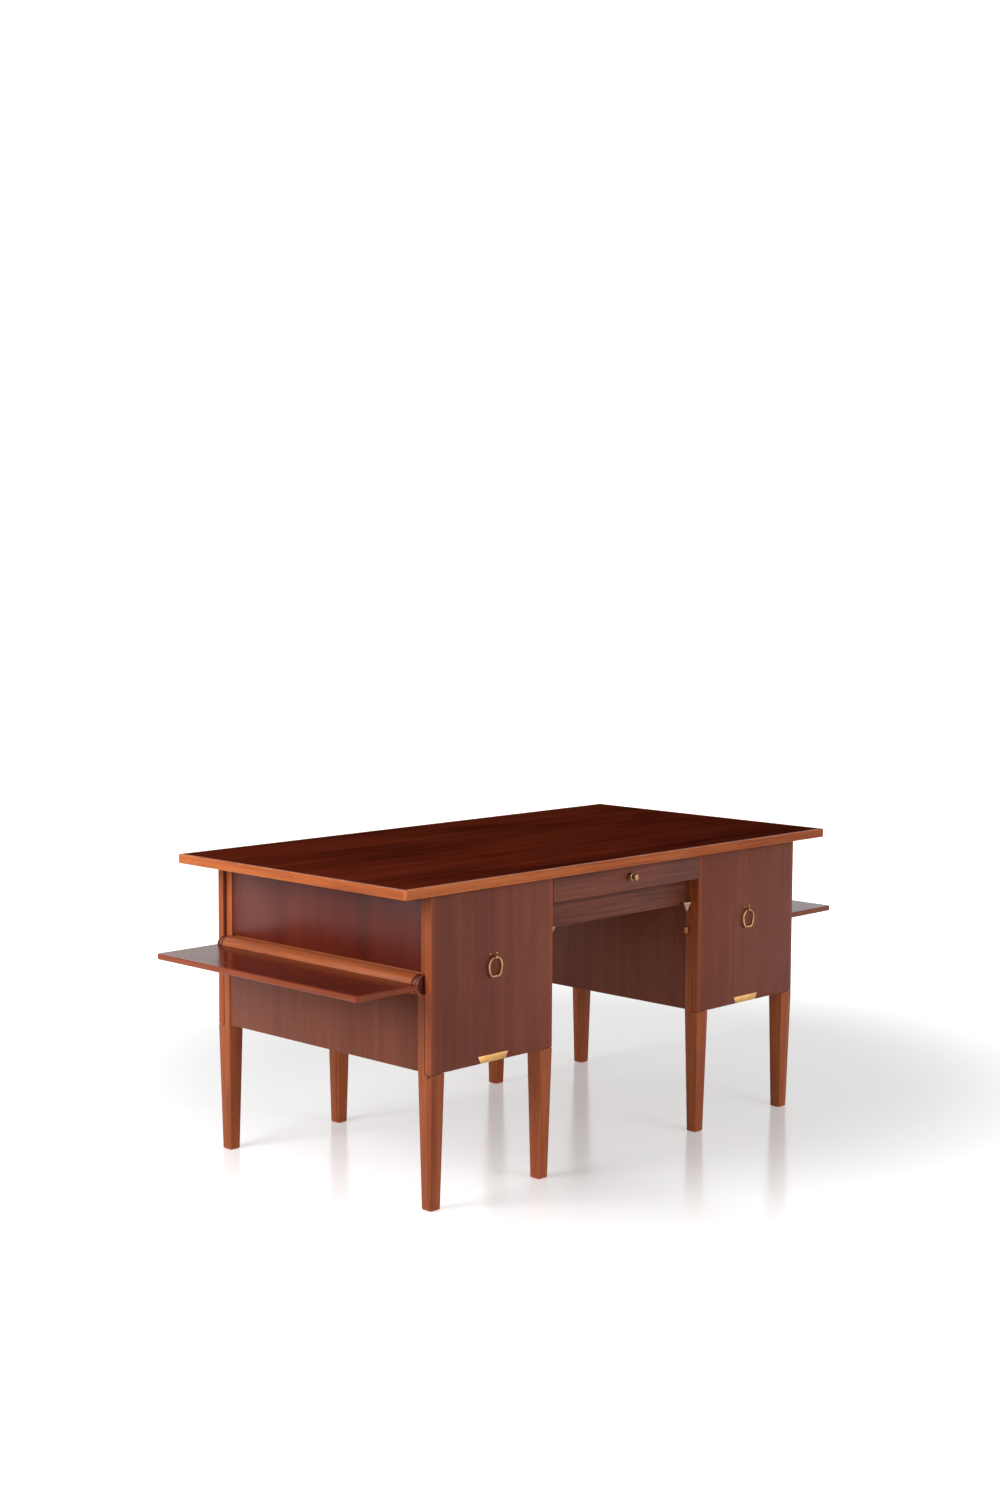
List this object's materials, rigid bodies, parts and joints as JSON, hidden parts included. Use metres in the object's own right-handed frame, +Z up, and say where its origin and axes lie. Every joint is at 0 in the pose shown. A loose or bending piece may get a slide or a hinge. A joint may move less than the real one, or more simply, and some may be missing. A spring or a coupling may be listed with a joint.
{
  "type": "partners desk",
  "caption": "Long writing desk worked from both sides: a flat top on cupboard pedestals with tapered legs, ring-pull doors, kneehole drawers and fold-up end leaves.",
  "frame": {"origin": "on the floor under the middle of the desktop", "axes": "+X along the desktop's length, -Y out of the front, +Z up"},
  "size_m": [1.762, 0.808, 0.75],
  "materials": {
    "top_veneer": "polished dark veneer",
    "veneer": "satin brown veneer",
    "solid_wood": "satin red-brown solid wood",
    "drawer_wood": "pale unpolished wood",
    "brass": "soft worn polish",
    "steel": "dark plain steel"
  },
  "bodies": {
    "carcass": {"desktop": "top_veneer", "desktop_lipping": "solid_wood", "front_left_outer_leg": "solid_wood", "front_left_inner_leg": "solid_wood", "back_left_outer_leg": "solid_wood", "back_left_inner_leg": "solid_wood", "left_lower_end_panel": "veneer", "left_upper_end_panel": "veneer", "left_cove_rail": "solid_wood", "left_kneehole_panel": "veneer", "left_pedestal_floor": "veneer", "left_pedestal_crown": "drawer_wood", "left_pedestal_divider": "drawer_wood", "front_right_outer_leg": "solid_wood", "front_right_inner_leg": "solid_wood", "back_right_outer_leg": "solid_wood", "back_right_inner_leg": "solid_wood", "right_lower_end_panel": "veneer", "right_upper_end_panel": "veneer", "right_cove_rail": "solid_wood", "right_kneehole_panel": "veneer", "right_pedestal_floor": "veneer", "right_pedestal_crown": "drawer_wood", "right_pedestal_divider": "drawer_wood", "left_shelves": "drawer_wood", "right_shelves": "drawer_wood", "shelf_pins": "brass", "kneehole_aprons": "veneer", "drawer_runners": "drawer_wood", "centre_rail": "drawer_wood", "kneehole_pegs": "brass", "catch_barrels": "brass", "door_pivots": "steel", "leaf_straps": "brass"},
    "front_left_door": {"front_left_door": "veneer", "front_left_door_plate": "brass", "front_left_ring_staple": "brass"},
    "front_left_ring": {"front_left_ring": "brass"},
    "back_left_door": {"back_left_door": "veneer", "back_left_door_plate": "brass", "back_left_ring_staple": "brass"},
    "back_left_ring": {"back_left_ring": "brass"},
    "left_leaf": {"left_leaf": "veneer", "left_leaf_rod": "solid_wood"},
    "front_right_door": {"front_right_door": "veneer", "front_right_door_plate": "brass", "front_right_ring_staple": "brass"},
    "front_right_ring": {"front_right_ring": "brass"},
    "back_right_door": {"back_right_door": "veneer", "back_right_door_plate": "brass", "back_right_ring_staple": "brass"},
    "back_right_ring": {"back_right_ring": "brass"},
    "right_leaf": {"right_leaf": "veneer", "right_leaf_rod": "solid_wood"},
    "front_drawer": {"front_drawer_front": "veneer", "front_drawer_box": "drawer_wood", "front_drawer_knob": "brass"},
    "back_drawer": {"back_drawer_front": "veneer", "back_drawer_box": "drawer_wood", "back_drawer_knob": "brass"}
  },
  "joints": [
    {"name": "front_left_door_hinge", "type": "hinge", "parent": "carcass", "child": "front_left_door", "pos_m": [-0.6705, -0.37, 0.5], "axis": [0, 0, -1], "range_deg": [0, 110]},
    {"name": "front_left_ring_swing", "type": "hinge", "parent": "front_left_door", "child": "front_left_ring", "pos_m": [-0.4755, -0.385, 0.561], "axis": [-1, 0, 0], "range_deg": [0, 95]},
    {"name": "back_left_door_hinge", "type": "hinge", "parent": "carcass", "child": "back_left_door", "pos_m": [-0.6705, 0.37, 0.5], "axis": [0, 0, 1], "range_deg": [0, 110]},
    {"name": "back_left_ring_swing", "type": "hinge", "parent": "back_left_door", "child": "back_left_ring", "pos_m": [-0.4755, 0.385, 0.561], "axis": [1, 0, 0], "range_deg": [0, 95]},
    {"name": "left_leaf_fold", "type": "hinge", "parent": "carcass", "child": "left_leaf", "pos_m": [-0.676, 0, 0.52], "axis": [0, 1, 0], "range_deg": [0, 90]},
    {"name": "front_right_door_hinge", "type": "hinge", "parent": "carcass", "child": "front_right_door", "pos_m": [0.6705, -0.37, 0.5], "axis": [0, 0, 1], "range_deg": [0, 110]},
    {"name": "front_right_ring_swing", "type": "hinge", "parent": "front_right_door", "child": "front_right_ring", "pos_m": [0.4755, -0.385, 0.561], "axis": [-1, 0, 0], "range_deg": [0, 95]},
    {"name": "back_right_door_hinge", "type": "hinge", "parent": "carcass", "child": "back_right_door", "pos_m": [0.6705, 0.37, 0.5], "axis": [0, 0, -1], "range_deg": [0, 110]},
    {"name": "back_right_ring_swing", "type": "hinge", "parent": "back_right_door", "child": "back_right_ring", "pos_m": [0.4755, 0.385, 0.561], "axis": [1, 0, 0], "range_deg": [0, 95]},
    {"name": "right_leaf_fold", "type": "hinge", "parent": "carcass", "child": "right_leaf", "pos_m": [0.676, 0, 0.52], "axis": [0, -1, 0], "range_deg": [0, 90]},
    {"name": "front_drawer_slide", "type": "slide", "parent": "carcass", "child": "front_drawer", "axis": [0, -1, 0], "range_m": [0, 0.26]},
    {"name": "back_drawer_slide", "type": "slide", "parent": "carcass", "child": "back_drawer", "axis": [0, 1, 0], "range_m": [0, 0.26]}
  ]
}
